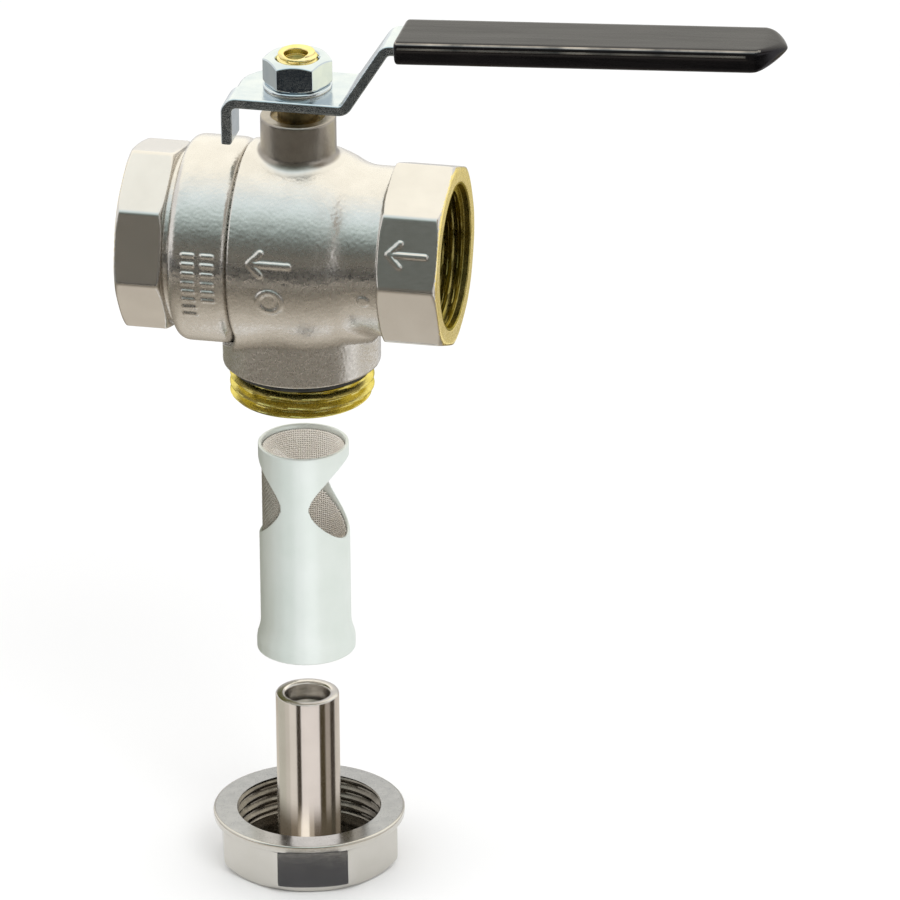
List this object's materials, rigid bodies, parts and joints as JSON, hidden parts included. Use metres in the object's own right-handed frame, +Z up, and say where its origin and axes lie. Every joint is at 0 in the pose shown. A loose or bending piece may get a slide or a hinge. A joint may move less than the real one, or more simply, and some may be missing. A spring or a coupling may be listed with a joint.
{
  "type": "ball valve with filter",
  "caption": "Lever-operated ball valve with threaded ends, a strainer inside the ball, and a screw cap below that carries a magnet rod, drawn apart for service",
  "frame": {"origin": "centre of the ball, where the flow axis and the stem's axis cross", "axes": "+X out of the inlet socket, +Z up the stem and against the cap's draw, -Y towards the picture's viewer"},
  "size_m": [0.1528, 0.0482, 0.2153],
  "materials": {
    "nickel_plate": "nickel plated, satin",
    "chrome_plate": "chrome plated, polished",
    "brass": "machined",
    "zinc_plate": "zinc plated",
    "stainless": "turned",
    "satin_steel": "satin",
    "steel_mesh": "woven",
    "ptfe": "matte",
    "black_rubber": "matte",
    "black_vinyl": "dipped, glossy"
  },
  "bodies": {
    "valve_body": {"body": "nickel_plate", "end_connector": "nickel_plate", "body_seal": "ptfe", "seat_inlet": "ptfe", "seat_outlet": "ptfe", "thrust_washer": "ptfe", "packing_ring": "ptfe", "gland_ring": "brass", "cap_seal": "black_rubber"},
    "handle": {"ball": "chrome_plate", "stem": "brass", "stem_seal": "black_rubber", "lever": "zinc_plate", "lever_grip": "black_vinyl", "nut_washer": "zinc_plate", "lever_nut": "zinc_plate"},
    "filter_set": {"filter_frame": "satin_steel", "filter_mesh": "steel_mesh"},
    "cap_set": {"cap": "nickel_plate", "magnet_sleeve": "stainless", "ring_magnets": "stainless", "magnet_screw": "stainless"}
  },
  "joints": [
    {"name": "lever_turn", "type": "hinge", "parent": "valve_body", "child": "handle", "pos_m": [0, 0, 0], "axis": [0, 0, 1], "range_deg": [-90, 0]},
    {"name": "cap_slide", "type": "slide", "parent": "valve_body", "child": "cap_set", "axis": [0, 0, 1], "range_m": [0, 0.1145]},
    {"name": "filter_slide", "type": "slide", "parent": "valve_body", "child": "filter_set", "axis": [0, 0, 1], "range_m": [0, 0.0625]}
  ],
  "couplings": [
    {"joint": "filter_slide", "follows": "cap_slide", "ratio": 0.5458}
  ]
}
